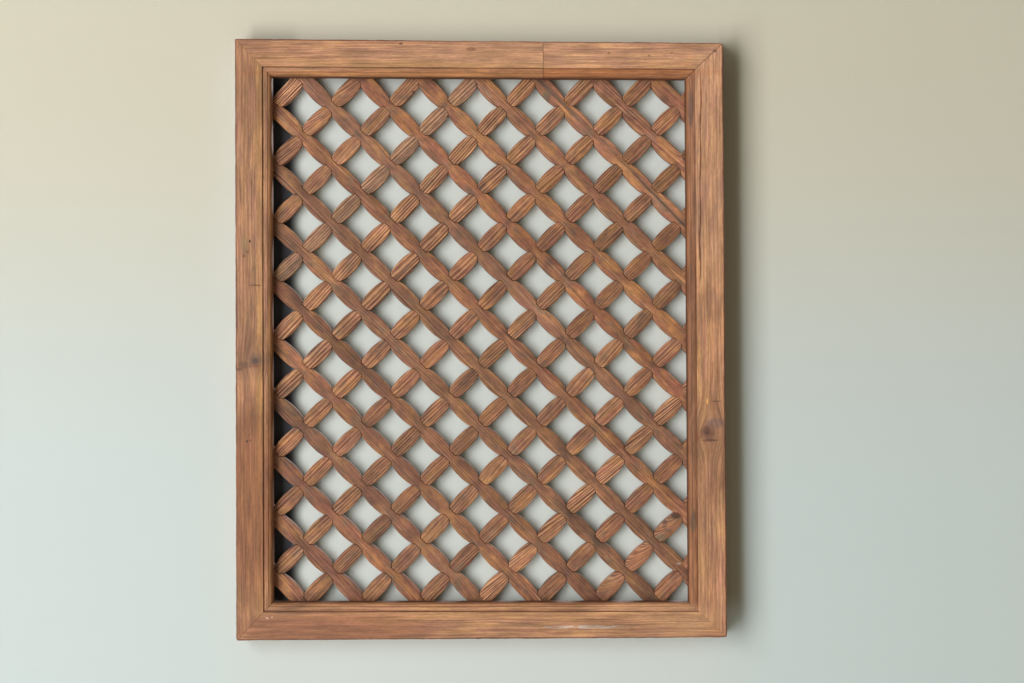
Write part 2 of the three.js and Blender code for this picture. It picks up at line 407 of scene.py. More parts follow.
# %% The frame's wood
frame_marks = [
    ("#8a5433", (-280, -545), (30, 135), 0.72),
    ("#8f6248", (-280, -20), (26, 80), 0.35),
    ("#7c5540", (-278, -362), (24, 32), 0.35),
    ("#8e5b40", (-185, -700), (130, 24), 0.75),
    ("#cc9c74", (240, -692), (50, 22), 0.4),
    ("#cc966e", (25, 8), (80, 20), 0.35),
    ("#bd947c", (80, 8), (250, 20), 0.2),
    ("#bd947c", (284, -100), (26, 190), 0.25),
    ("#7d5840", (284, -480), (30, 85), 0.55),
    ("#7a5a44", (282, -305), (26, 22), 0.25),
    ("#6a4a36", (258, -355), (9, 150), 0.45),
    ("#80583f", (-220, -675), (50, 6), 0.4),
    ("#d2a078", (190, -675), (70, 6), 0.5),
    ("#b06c35", (0, -17), (330, 5.5), 0.35),
    ("#7a6050", (-276, -369), (9, 8), 0.55),
    ("#5f4b40", (-277, -371), (4.5, 4.5), 0.8),
    ("#8f553a", (-276, -377), (6.5, 2), 0.7),
    ("#6f5240", (-290, -376), (10, 4.5), 0.55),
    ("#573d2e", (-297, -381), (5, 2), 0.6),
    ("#7d5c46", (-262, -368), (4, 9), 0.5),
    ("#6f5650", (288, -450), (12, 6.5), 0.72),
    ("#6a4638", (279, -461), (9, 10), 0.75),
    ("#4a3025", (277, -459), (4.5, 6), 0.7),
    ("#53322a", (281, -471), (10, 1.8), 0.75),
    ("#53322a", (270, -463), (1.5, 7), 0.5),
    ("#8d5136", (265, -467), (3, 6), 0.55),
    ("#9a7a58", (-290, -228), (5, 12), 0.8),
    ("#2e2019", (-283, -224), (1.3, 2), 1),
    ("#2e2019", (-287, -469), (1.3, 1.6), 0.9),
    ("#4b3427", (-283, -468), (1.2, 1.3), 0.8),
    ("#5f3f2d", (-275.5, -278), (8, 0.9), 0.75),
    ("#6b4a35", (-290, -242), (3, 2.4), 0.5),
    ("#6b4a35", (-286, -237), (2.6, 2.2), 0.5),
    ("#a06b49", (-283.5, -192), (5, 1.2), 0.6),
    ("#d8a05c", (278, -423), (1.3, 4), 0.8),
    ("#5f3f2c", (289, -423), (7, 0.9), 0.7),
    ("#5f4030", (-97, 19), (2.6, 1.8), 0.8),
    ("#86583c", (-11, 12), (6.5, 2.6), 0.7),
    ("#5c3c2a", (159, 7), (2, 1.4), 0.55),
    ("#5c3c2a", (209, 4), (1.8, 1.3), 0.55),
    ("#5c3c2a", (237, 7), (1.8, 1.3), 0.5),
    ("#4a3327", (290, 9.5), (2.8, 1.7), 0.7),
    ("#4a3327", (300, 20), (3, 3), 0.7),
    # Painted shade down the right stile's outer rounded edge, which turns away from the window.
    ("#4a3327", (300, -60), (1.6, 90), 0.45),
    ("#4a3327", (300, -420), (1.6, 120), 0.4),
    ("#d8c8b8", (-263, -685), (1.3, 1.1), 0.6),
    ("#d8c8b8", (-257, -684), (1.1, 1), 0.5),
    ("#5d4a38", (260, -571), (4.5, 15), 0.65),
    ("#6b5048", (260, -62), (4.5, 26), 0.6),
    ("#6f5545", (264, -190), (3, 50), 0.4),
]
scraped = {"place": (128, FRONT, -699), "half_size": (52, 2.4), "cloud": (14, 2, 0.42, 0.55, 0.9, 71)}
frame_wood = old_wood(
    "oiled_old_hardwood_frame",
    # Ground, ring lines with painted shade in their grooves, and a painted highlight on the ridges.
    ("#b6825d", "#83573f", "#c69a75"),
    [
        ("#a8745f", {"cloud": (44, 10, 0.4, 0.6, 0.7, 13)}),
        ("#bf8f5c", {"cloud": (52, 7, 0.48, 0.64, 0.6, 29)}),
        ("#8f7355", {"cloud": (34, 6, 0.53, 0.7, 0.45, 31)}),
        ("#86583f", {"cloud": (36, 2.6, 0.54, 0.7, 0.5, 47)}),
        ("#cf9d6c", {"cloud": (120, 4, 0.54, 0.7, 0.4, 61)}),
        ("#7a4f3a", {"cloud": (90, 1.3, 0.58, 0.69, 0.5, 43)}),
        ("#c8965a", {"attribute": "gold"}),
        ("#80503a", {"attribute": "edge"}),
        ("#84512f", {"attribute": "shaded"}),
        # A painted highlight on the nose.
        ("#bd8550", {"attribute": "nose"}),
        # Grime, with painted shade inside the lip, on the nose's inner side and in the steps.
        ("#623d28", {"attribute": "grime"}),
        ("#6b5145", {"attribute": "knot", "amount": 0.5}),
        ("#b9aea4", scraped),
    ],
    frame_marks,
    FRONT,
    RINGS["frame"],
    [(90, 30, 0.12), (44, 6, 0.22), (34, 1.2, 0.15), (7, 1.1, 0.12)],
    0.68,
)
print("frame's wood:", len(frame_wood.node_tree.nodes), "nodes")

# %% [markdown]
# ## One crossing of a slat
#
# A slat is the same shape over and over: a narrow waist where it is let through the slats that cross
# it, then a bay that swells to its middle and narrows again. The module runs from the middle of
# one bay to the middle of the next, with the crossing at its centre.

# %% Sizes of a slat
CROSSING_STEP = 36.175
COLUMNS = 14
ROWS = 18
LATTICE_SHIFT = -2.5
PITCH = CROSSING_STEP * math.sqrt(2)

BELLY_HALF = 9.95
WAIST_HALF = 5.1
BAY_RADIUS = 72.0
JOINT_GAP = 0.3
LAP_END = 5.15
BLUNT_LENGTH = 1.6
ARRIS = 0.5

slat_front = slat_low.y
slat_back = slat_high.y
slat_middle = (slat_front + slat_back) / 2


def half_width(along, clearance, rounding):
    """Half the width of a slat at a distance from a crossing: the waist, the flare, then the bay."""
    from_belly = PITCH / 2 - along
    bay = BELLY_HALF - BAY_RADIUS + math.sqrt(BAY_RADIUS**2 - from_belly**2)
    flare = along - clearance
    blunt = rounding * max(0.0, 1 - (along - LAP_END) / BLUNT_LENGTH) ** 2 if along > LAP_END else 0.0
    return min(bay, max(flare, WAIST_HALF)) - blunt


# %% Build the module of one crossing
FRONT_COLUMNS = 28
BACK_COLUMNS = 4
BAY_STATIONS = 10
WEDGE = 0.2
CROWN = 0.45
TOUCH = -0.03
STEP_BEHIND = 0.2
SHOULDER_ROUNDING = 0.4
JOINT_SHADE = 10.0


def slat_section(half, half_behind, front, middle, back, crowned):
    """A closed section, (across, depth): eased arrises, and a front that can be a little crowned."""
    ease = ARRIS * (1 - math.sqrt(0.5))
    right = [
        (half_behind - ease, back - ease),
        (half_behind, back - ARRIS),
        (half_behind, middle + STEP_BEHIND),
        (half, middle),
        (half, front + ARRIS),
        (half - ease, front + ease),
    ]
    across_face = np.linspace(half - ARRIS, ARRIS - half, FRONT_COLUMNS)
    face = [(across, front + CROWN * ((across / half) ** 2 - 1) * crowned) for across in across_face]
    left = [(-across, depth) for across, depth in reversed(right)]
    across_back = np.linspace(ARRIS - half_behind, half_behind - ARRIS, BACK_COLUMNS)
    return right + face + left + [(across, back) for across in across_back]


def crossing_module(name, whole_in_front):
    """The mesh of one crossing of a slat, lapped at the back if it is whole in front."""
    lap_end = LAP_END + (0.0 if whole_in_front else 0.1)
    half_stations = [0.0, 2.5, lap_end - 0.05, lap_end + 0.05, 5.5, 6.0, 6.8, 8.2]
    half_stations += np.linspace(8.2, PITCH / 2, BAY_STATIONS)[1:].tolist()
    stations = [-s for s in reversed(half_stations[1:])] + half_stations
    rings = []
    for along in stations:
        reach = abs(along)
        lapped = reach < lap_end
        rounding = 0.0 if whole_in_front else SHOULDER_ROUNDING
        let_in = lapped and not whole_in_front
        front = slat_middle + JOINT_GAP / 2 if let_in else slat_front + CROWN
        back = slat_middle - JOINT_GAP / 2 if lapped and whole_in_front else slat_back
        half = half_width(reach, WEDGE, rounding)
        half_behind = half_width(reach, TOUCH, 0.0)
        middle = min(max(slat_middle, front + ARRIS + 0.1), back - ARRIS - 0.4)
        section = slat_section(half, half_behind, front, middle, back, not let_in)
        rings.append([(along, depth, across) for across, depth in section])
    points = np.array(rings)
    edge = np.zeros(points.shape[:2])
    front_corners = [4, 5, 6, 5 + FRONT_COLUMNS, 6 + FRONT_COLUMNS, 7 + FRONT_COLUMNS]
    edge[:, front_corners] = 1.0
    joint = np.exp(-((points[:, :, 0] / JOINT_SHADE) ** 2))
    return loft(name, points, {"edge": edge, "joint": joint})


falling_module = add_object("falling_module", crossing_module("falling_module", True))
rising_module = add_object("rising_module", crossing_module("rising_module", False))
print("module:", len(falling_module.data.polygons), "faces")

# %% [markdown]
# ## The slat tree
#
# Geometry Nodes set one module on each crossing of a straight line, join them into one skin, carve
# the growth rings into it, and turn the slat to its place. The alternative, thirty-two meshes
# modelled by hand, would drift apart; here a change to the module reaches every slat.

# %% Build the tree that lays out and wears a slat
ARCH_CLIMB = 0.42
ARCH_CURVE = 0.085
ARCH_ASIDE = -2.5
SAME_POINT = 0.01
CHIPPED_LENGTHS = (14, 9, 0.42, 0.72, 1, 3)
HAND_CUT_WAVES = (38, 26, 0.25, 0.75, 1, 7)
NAMED_ATTRIBUTE = "GeometryNodeInputNamedAttribute"
WEAR_INPUTS = {"Ridge Depth": "Float", "Edge Wear": "Float", "Unevenness": "Float"}


def new_tree(name, inputs):
    """A Geometry Nodes tree, and its named inputs, each given with its kind of socket."""
    tree = bpy.data.node_groups.new(name, "GeometryNodeTree")
    for label, kind in {"Geometry": "Geometry", **inputs, **WEAR_INPUTS, "Material": "Material"}.items():
        tree.interface.new_socket(name=label, in_out="INPUT", socket_type=f"NodeSocket{kind}")
    tree.interface.new_socket(name="Geometry", in_out="OUTPUT", socket_type="NodeSocketGeometry")
    return tree, add_node(tree, "NodeGroupInput").outputs


def worn(tree, geometry, given, rings, share_of_wear):
    """Carves growth rings, worn arrises and hand-cut unevenness into a surface."""
    grain = add_node(tree, NAMED_ATTRIBUTE, {"data_type": "FLOAT_VECTOR"}, {"Name": "grain"})
    edge = add_node(tree, NAMED_ATTRIBUTE, {"data_type": "FLOAT"}, {"Name": "edge"})
    line, _ = growth_rings(tree, grain, **rings)
    chips = patches(tree, grain, *CHIPPED_LENGTHS)
    uneven = patches(tree, grain, *HAND_CUT_WAVES)
    carved = add_node(tree, MATH, MULTIPLY, {0: line, 1: given["Ridge Depth"]})
    chipped = add_node(tree, MATH, MULTIPLY, {0: edge, 1: chips})
    eased = add_node(tree, MATH, MULTIPLY_ADD, {0: chipped, 1: given["Edge Wear"], 2: carved})
    total = add_node(tree, MATH, MULTIPLY_ADD, {0: uneven, 1: given["Unevenness"], 2: eased})
    inward = add_node(tree, MATH, MULTIPLY, {0: total, 1: -MM})
    normal = add_node(tree, "GeometryNodeInputNormal")
    direction = add_node(tree, VECTOR_MATH, MULTIPLY, {0: normal, 1: share_of_wear})
    offset = add_node(tree, VECTOR_MATH, {"operation": "SCALE"}, {0: direction, "Scale": inward})
    return add_node(tree, "GeometryNodeSetPosition", {}, {"Geometry": geometry, "Offset": offset})


def end_tree(tree, geometry, material):
    """Gives the finished shape its material, and sends it out of the tree."""
    painted = {"Geometry": geometry, "Material": material}
    add_node(tree, "NodeGroupOutput", {}, {0: add_node(tree, "GeometryNodeSetMaterial", {}, painted)})


def slat_tree():
    """The Geometry Nodes tree of a slat."""
    inputs = {
        "Module": "Object",
        "Crossings": "Int",
        "Pitch": "Vector",
        "Board": "Vector",
        "Grain Scale": "Vector",
        "Figure": "Float",
        "Turn": "Vector",
        "First Crossing": "Vector",
    }
    tree, given = new_tree("lattice_slat", inputs)
    line = {"Count": given["Crossings"], "Offset": given["Pitch"]}
    crossings = add_node(tree, "GeometryNodeMeshLine", {}, line)
    module = add_node(tree, "GeometryNodeObjectInfo", {}, {"Object": given["Module"]})
    copies = {"Points": crossings, "Instance": module.outputs["Geometry"]}
    placed = add_node(tree, "GeometryNodeInstanceOnPoints", {}, copies)
    real = add_node(tree, "GeometryNodeRealizeInstances", {}, {"Geometry": placed})
    touching = {"Geometry": real, "Distance": SAME_POINT * MM}
    joined = add_node(tree, "GeometryNodeMergeByDistance", {}, touching)

    parts = add_node(tree, SEPARATE, {}, {0: add_node(tree, "GeometryNodeInputPosition")}).outputs
    fibre_order = add_node(tree, "ShaderNodeCombineXYZ", {}, {0: parts[0], 1: parts[2], 2: parts[1]})
    in_board = {0: fibre_order, 1: given["Grain Scale"], 2: given["Board"]}
    grain = add_node(tree, VECTOR_MATH, MULTIPLY_ADD, in_board)
    aside = add_node(tree, MATH, MULTIPLY_ADD, {0: parts[2], 1: 1 / MM, 2: ARCH_ASIDE})
    curve = add_node(tree, MATH, MULTIPLY, {0: aside, 1: aside})
    hollow = add_node(tree, MATH, MULTIPLY, {0: curve, 1: -ARCH_CURVE})
    arch = add_node(tree, MATH, MULTIPLY_ADD, {0: parts[0], 1: ARCH_CLIMB / MM, 2: hollow})
    rise = add_node(tree, MATH, MULTIPLY, {0: arch, 1: given["Figure"]})
    sideways = add_node(tree, "ShaderNodeCombineXYZ", {}, {1: rise})
    figured = add_node(tree, VECTOR_MATH, {"operation": "ADD"}, {0: grain, 1: sideways})
    marked = add_node(
        tree,
        "GeometryNodeStoreNamedAttribute",
        {"data_type": "FLOAT_VECTOR", "domain": "POINT"},
        {"Geometry": joined, "Name": "grain", "Value": figured},
    )
    carved = worn(tree, marked, given, RINGS["slats"], (0.0, 1.0, 0.6))
    turn = {"Geometry": carved, "Rotation": given["Turn"], "Translation": given["First Crossing"]}
    end_tree(tree, add_node(tree, "GeometryNodeTransform", {}, turn), given["Material"])
    return tree


slat_nodes = slat_tree()
print("slat tree:", len(slat_nodes.nodes), "nodes")

# %% [markdown]
# ## Lay out the thirty-two slats
#
# Each slat is made a little too long and then sawn off in the rebate of the frame, as a joiner
# would. The saw is a plane that cuts the mesh, and the open end is filled so that the slat stays solid.

# %% Saw, fill and place the slats
SLAT_COUNT = (COLUMNS + ROWS) // 2
RUNS = ("falling", "rising")
slat_boxes = [box_mm(f"{run}_slat_{n + 1:02d}") for run in RUNS for n in range(SLAT_COUNT)]
trim_low = Vector([min(low[axis] for low, high in slat_boxes) for axis in range(3)])
trim_high = Vector([max(high[axis] for low, high in slat_boxes) for axis in range(3)])
lattice_x = (inner["top_left"][0] + inner["top_right"][0]) / 2 + LATTICE_SHIFT
lattice_z = (trim_low.z + trim_high.z) / 2
lattice_left = lattice_x - COLUMNS * CROSSING_STEP / 2
lattice_half_height = ROWS * CROSSING_STEP / 2

SAW_CUTS = [
    (trim_low, (-1, 0, 0)),
    (trim_high, (1, 0, 0)),
    (trim_low, (0, 0, -1)),
    (trim_high, (0, 0, 1)),
]
BOARD_LENGTH = 4000
BOARD_WIDTH = 400
PAST_END = 8.0
ON_EDGE = 1.0
STREAKS = {
    ("falling", 14): {"aside": 0.5, "half_width": 2.2, "amount": 0.9},
    ("rising", 4): {"aside": -4.5, "half_width": 4.0, "amount": 0.45},
    ("falling", 5): {"aside": -3.0, "half_width": 1.3, "amount": 0.5},
    ("rising", 12): {"aside": 3.5, "half_width": 1.5, "amount": 0.5},
}
FIGURED = {("rising", 15): 1.0, ("rising", 13): 0.3, ("rising", 2): 0.35}
RUN_LOOKS = {
    "falling": {"ridges": (0.05, 0.22), "ridging": (0.05, 0.42), "tone": 0.91, "upward": 0.12},
    "rising": {"ridges": (0.3, 0.6), "ridging": (0.5, 1.05), "tone": 0.98, "upward": -0.1},
}
BOARDS = {
    ("falling", 1): {"paler": 1.2},
    ("falling", 2): {"greyed": 0.0, "reddened": 0.8},
    ("falling", 6): {"paler": 0.76, "reddened": 0.4},
    ("falling", 7): {"paler": 0.8, "reddened": 0.4},
    ("falling", 8): {"paler": 0.84, "ridging": 0.5},
    ("falling", 14): {"paler": 1.08},
    ("falling", 10): {"greyed": 0.2},
    ("falling", 15): {"paler": 1.22},
    ("rising", 1): {"ridging": 1.3, "paler": 0.93},
    ("rising", 4): {"greyed": 0.3, "paler": 1.05},
    ("rising", 7): {"ridging": 0.55, "paler": 0.94},
    ("rising", 9): {"paler": 0.84},
    ("rising", 10): {"paler": 0.84},
    ("rising", 11): {"ridging": 0.45, "paler": 0.92},
    ("rising", 12): {"ridging": 0.6, "paler": 0.93},
    ("rising", 13): {"paler": 1.18},
    ("rising", 14): {"paler": 0.92},
}


def slat_ways(side):
    """The directions along a slat and across it, upwards, as (x, z)."""
    return np.array([1.0, -side]) / math.sqrt(2), np.array([side, 1.0]) / math.sqrt(2)


def on_slat(mesh, side, start):
    """Each vertex's place (mm), and its distances along a slat and across it."""
    points = np.zeros(len(mesh.vertices) * 3, np.float32)
    mesh.vertices.foreach_get("co", points)
    points = points.reshape(-1, 3) / MM
    along_way, across_way = slat_ways(side)
    from_start = points[:, [0, 2]] - start
    return points, from_start @ along_way, from_start @ across_way


def add_streak(mesh, along, across, aside, half_width, amount):
    """Stores a dark streak along a slat, stronger and weaker along its length."""
    line = aside + 1.5 * np.sin(along / 70)
    fading = 0.7 + 0.3 * np.sin(along / 33 + 1.0)
    streak = amount * fading * np.exp(-(((across - line) / half_width) ** 2))
    layer = mesh.attributes.new("streak", "FLOAT", "POINT")
    layer.data.foreach_set("value", streak.astype(np.float32))


def fill_out_ends(mesh, side, start, bays, falling):
    """Keeps the side of a slat that faces the frame straight over its last half bay."""
    points, along, across = on_slat(mesh, side, start)
    along_way, across_way = slat_ways(side)
    length = bays * PITCH
    for at_end in (False, True):
        place = start + along_way * (length if at_end else 0.0)
        outwards = place - np.array([lattice_x, lattice_z])
        on_rail = abs(abs(outwards[1]) - lattice_half_height) < ON_EDGE
        if not (on_rail or falling):
            continue
        face = [0.0, np.sign(outwards[1])] if on_rail else [np.sign(outwards[0]), 0.0]
        facing = np.sign(across_way @ np.array(face))
        inside = (length - along) if at_end else along
        near = (inside > -PAST_END) & (inside < PITCH / 2) & (across * facing > ARRIS)
        reach = np.clip(np.abs(inside[near]), 0.0, PITCH / 2)
        usual = np.array([half_width(float(r), TOUCH, 0.0) for r in reach])
        across[near] *= BELLY_HALF / usual
    points[:, [0, 2]] = start + along[:, None] * along_way + across[:, None] * across_way
    mesh.vertices.foreach_set("co", (points * MM).astype(np.float32).ravel())


def make_slat(run, index, draw):
    """Makes one slat of the falling or the rising run, numbered as its solid is."""
    falling = run == "falling"
    number = (run, index + 1)
    from_corner = ROWS - 1 - 2 * index
    column = max(0, -from_corner)
    row = max(0, from_corner)
    bays = min(COLUMNS - column, ROWS - row)
    side = 1 if falling else -1
    start_x = lattice_left + column * CROSSING_STEP
    start_z = lattice_z + side * (lattice_half_height - row * CROSSING_STEP)
    start = np.array([start_x, start_z])
    usual = RUN_LOOKS[run]
    ridges = draw.uniform(*usual["ridges"])
    board = [draw.uniform(0, size) for size in (BOARD_LENGTH, BOARD_WIDTH, BOARD_WIDTH)]
    closeness = draw.uniform(0.75, 1.15)
    values = {
        "Module": falling_module if falling else rising_module,
        "Crossings": bays + 1,
        "Pitch": (PITCH * MM, 0.0, 0.0),
        "Board": board,
        "Grain Scale": (1 / MM, closeness / MM, closeness / MM),
        "Figure": FIGURED.get(number, draw.uniform(-0.13, 0.13)),
        "Ridge Depth": ridges,
        "Edge Wear": 0.5,
        "Unevenness": 0.35,
        "Turn": (0.0, side * math.radians(45), 0.0),
        "First Crossing": (start_x * MM, 0.0, start_z * MM),
        "Material": slat_wood,
    }
    piece = add_object(f"{run}_slat_wood_{index + 1:02d}", bpy.data.meshes.new("blank"))
    mesh = run_tree(piece, slat_nodes, values)
    if number in STREAKS:
        _, along, across = on_slat(mesh, side, start)
        add_streak(mesh, along, across, **STREAKS[number])
    fill_out_ends(mesh, side, start, bays, falling)
    cut_and_close(mesh, SAW_CUTS)
    upward = index / (SLAT_COUNT - 1) - 0.5
    tone = usual["tone"] + usual["upward"] * upward + draw.uniform(-0.08, 0.08)
    looks = {
        "ridging": draw.uniform(*usual["ridging"]),
        "reddened": draw.uniform(0.0, 0.5),
        "yellowed": draw.uniform(0.0, 0.45),
        "greyed": draw.uniform(0.0, 0.15),
        "paler": 1.0,
    }
    looks.update(BOARDS.get(number, {}))
    looks["tone"] = tone * looks.pop("paler")
    finish_mesh(mesh, looks)
    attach(piece, "root")
    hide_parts(f"{run}_slat_{index + 1:02d}")
    return piece


draw = np.random.default_rng(7)
slats = [make_slat(run, index, draw) for run in RUNS for index in range(SLAT_COUNT)]
for module in (falling_module, rising_module):
    bpy.data.objects.remove(module)
print("slats:", len(slats), "faces:", sum(len(piece.data.polygons) for piece in slats))

# %% [markdown]
# ## The frame's section
#
# Each member was planed to one section: a flat face, a square step down to a band, and a smaller
# step to a rounded nose at the opening. Behind the nose a rebate holds the ends of the slats. The
# section is a list of places, each with its distance from the opening and its depth; places
# on the flat face are a share of its width, because the rails taper.

# %% Places on the section
BAND = 11.0
QUIRK = 2.2
NOSE = 4.6
NOSE_STEP = 1.0
NOSE_END = 11.0
LIP = 19.0
REBATE = 6.5
OUTER_ARRIS = 1.6
BACK_ARRIS = 0.8


def member_section():
    """Rows of (band, share, depth, edge, grime, nose) round the section of a member; nose is a painted
    highlight.
    """
    rows = []

    def run(start, end, count, grime=0.0):
        for step in range(count):
            part = step / count
            rows.append([a + (b - a) * part for a, b in zip(start, end)] + [0.0, grime, 0.0])

    flat_front = FRONT
    band_front = FRONT + QUIRK
    nose_front = band_front + NOSE_STEP
    lip_back = FRONT + LIP
    run((BAND + 0.5, 0, flat_front), (BAND - OUTER_ARRIS, 1, flat_front), 40)
    for turn in np.linspace(0.0, math.pi / 2, 5):
        out = OUTER_ARRIS * (1 - math.sin(turn))
        deep = OUTER_ARRIS * (1 - math.cos(turn))
        rows.append([BAND - out, 1, flat_front + deep, 1.0, 0.0, 0.0])
    run((BAND, 1, flat_front + OUTER_ARRIS + 1.2), (BAND, 1, BACK - BACK_ARRIS), 12)
    rows.append([BAND, 1, BACK - BACK_ARRIS, 1.0, 0.0, 0.0])
    run((BAND - BACK_ARRIS, 1, BACK), (REBATE, 0, BACK), 7)
    run((REBATE, 0, BACK), (REBATE, 0, lip_back), 6)
    run((REBATE, 0, lip_back), (0.3, 0, lip_back), 3)
    # The lip's inner face is painted dark with the grime: painted shade.
    run((0.0, 0, lip_back - 0.3), (0, 0, FRONT + NOSE_END), 3, 0.85)
    # Round the nose, its inner side is painted darker as shade, and the part turned to the front lighter
    # as a painted highlight.
    for turn in np.linspace(0.0, math.pi / 2, 9):
        outward = NOSE * (1 - math.cos(turn))
        depth = FRONT + NOSE_END - (FRONT + NOSE_END - nose_front) * math.sin(turn)
        shaded = max(0.0, 1 - outward / 0.9) * 0.8
        rows.append([outward, 0, depth, 0.2, shaded, min(1.0, outward / 1.5) * 0.8])
    # The step from the nose down to the band is painted darker.
    rows += [
        [NOSE + 0.05, 0, nose_front - 0.15, 0.0, 0.75, 0.0],
        [NOSE + 0.35, 0, band_front + 0.15, 0.1, 0.6, 0.0],
    ]
    for part in np.linspace(0.0, 1.0, 8):
        crown = 0.35 * math.sin(math.pi * part)
        rows.append([NOSE + 0.8 + (BAND - NOSE - 1.8) * part, 0, band_front - crown, 0.0, 0.0, 0.0])
    # The step from the band up to the flat face is painted darker.
    rows += [
        [BAND - 0.55, 0, band_front + 0.1, 0.0, 0.6, 0.0],
        [BAND - 0.25, 0, band_front + 0.1, 0.0, 0.6, 0.0],
        [BAND - 0.05, 0, band_front - 0.5, 0.0, 0.5, 0.0],
        [BAND, 0, flat_front + 0.5, 0.0, 0.3, 0.0],
        [BAND + 0.15, 0, flat_front + 0.12, 0.3, 0.0, 0.0],
    ]
    return np.array(rows)


SECTION = member_section()
print("section:", len(SECTION), "places")

# %% [markdown]
# ## Members with mitred ends
#
# Every place on the section becomes a straight line from one mitre to the other, so the same loft
# gives racked ends, tapered rails and both halves of the top rail. The grain follows the
# member and swings round its knots.

# %% Carry the section along a member
STATION = 2.0


def member_points(corners, gaps, cut):
    """The grid of points of a member, walking with the opening on the left."""
    inner_start, inner_end, outer_start, outer_end = corners
    along = (inner_end - inner_start) / np.linalg.norm(inner_end - inner_start)
    outward = np.array([along[1], -along[0]])
    ends = []
    for inside, outside, gap in ((inner_start, outer_start, gaps[0]), (inner_end, outer_end, -gaps[1])):
        width = (outside - inside) @ outward
        distance = SECTION[:, 0] + SECTION[:, 1] * (width - BAND)
        share = distance / width
        ends.append(inside[None, :] + (outside - inside)[None, :] * share[:, None] + along * gap)
    start, end = ends
    first, last = np.zeros(len(start)), np.ones(len(start))
    if cut is not None:
        joint, keep_start = cut
        at_joint = (joint - start[:, 0]) / (end[:, 0] - start[:, 0])
        first, last = (first, at_joint) if keep_start else (at_joint, last)
    length = np.linalg.norm(inner_end - inner_start) * abs(last[0] - first[0])
    share = np.linspace(0, 1, int(length / STATION) + 1)[:, None]
    reach = first[None, :] + (last - first)[None, :] * share
    flat = start[None] + (end - start)[None] * reach[:, :, None]
    depth = np.broadcast_to(SECTION[:, 2], flat.shape[:2])
    return np.stack([flat[:, :, 0], depth, flat[:, :, 1]], -1), along


# %% Knots, a split and worn corners
KNOTS = [
    {"x": -275.5, "z": -371.0, "half_across": 6.5, "half_along": 7.5},
    {"x": 281.0, "z": -461.0, "half_across": 11.0, "half_along": 12.0},
]
KNOT_EDGE = 0.9
SWING_ACROSS = 3.4
SWING_ALONG = 5.5
SPLIT = {"x": 273.5, "top": -4.0, "bottom": -285.0, "lean": -3.0, "depth": 2.0, "half_width": 1.1}
SPLIT_WAVER = 0.5
SPLIT_TAPER = 12
CORNER_WEAR = {"top_right": 5.5, "bottom_left": 2.6, "top_left": 1.4, "bottom_right": 2.2}


def round_corners(points):
    """Wears the frame's outer corners round, seen from the front."""
    for name, radius in CORNER_WEAR.items():
        place = outer[name]
        inwards = np.sign(-place + np.array([0.0, lattice_z]))
        near = (points[:, :, [0, 2]] - place) * inwards
        short = np.maximum(radius - near, 0)
        reach = np.hypot(short[:, :, 0], short[:, :, 1])
        worn_away = (short.min(-1) > 0) & (reach > radius)
        pull = np.where(worn_away, radius / np.maximum(reach, 1e-6), 1.0)
        moved = radius - short * pull[:, :, None]
        rounded = np.where(worn_away[:, :, None], moved, near) * inwards + place
        points[:, :, 0] = rounded[:, :, 0]
        points[:, :, 2] = rounded[:, :, 1]


def knot_field(points, stile):
    """How much each point belongs to a knot, and how far the knots push the grain aside."""
    field = np.zeros(points.shape[:2])
    push = np.zeros(points.shape[:2])
    for knot in KNOTS if stile else []:
        aside = points[:, :, 0] - knot["x"]
        across = aside / knot["half_across"]
        along = (points[:, :, 2] - knot["z"]) / knot["half_along"]
        field = np.maximum(field, np.exp(-(across**2 + along**2) * KNOT_EDGE))
        push -= aside * np.exp(-(across**2) / SWING_ACROSS - along**2 / SWING_ALONG)
    return field, push


def cut_split(points):
    """Opens the long split in the face of a stile as a narrow groove, and says where that is."""
    x, y, z = np.moveaxis(points, -1, 0)
    down = (z - SPLIT["top"]) / (SPLIT["bottom"] - SPLIT["top"])
    middle = SPLIT["x"] + SPLIT["lean"] * down + SPLIT_WAVER * np.sin(z / 11)
    open_here = np.clip(np.minimum(down, 1 - down) * SPLIT_TAPER, 0, 1)
    near = np.clip(1 - np.abs(x - middle) / SPLIT["half_width"], 0, 1)
    groove = near * open_here * (y < FRONT + 0.1)
    points[:, :, 1] += groove * SPLIT["depth"]
    return groove


# %% [markdown]
# ## Wear the frame with the same nodes
#
# The frame's members reuse the carving nodes of the slats, with shallower and wider rings. The
# attribute edge tells the nodes where an arris can chip.

# %% Build the tree that wears a member
def member_tree():
    """The Geometry Nodes tree that wears a frame member."""
    tree, given = new_tree("frame_member", {})
    carved = worn(tree, given["Geometry"], given, RINGS["frame"], (1.0, 1.0, 1.0))
    real = add_node(tree, "GeometryNodeRealizeInstances", {}, {"Geometry": carved})
    end_tree(tree, real, given["Material"])
    return tree


member_nodes = member_tree()

# %% Make the five members
GOLD_WIDTH = 8.0
GOLD_FADE = 3.0
FLAT_WIDTH = 34.0
MOULDING_ANGLE = 38.0


def golden_edge(lengthwise, amount):
    """A yellower strip of the flat face, next to the step down to the band."""
    width = SECTION[:, 0] + SECTION[:, 1] * FLAT_WIDTH - BAND
    flat_face = SECTION[:, 2] < FRONT + 0.2
    near = np.clip((GOLD_WIDTH + GOLD_FADE / 2 - width) / GOLD_FADE, 0, 1) * flat_face * (width > -0.2)
    fading = 0.65 + 0.35 * np.sin(lengthwise / 61 + 2.0)
    return near[None, :] * fading * amount


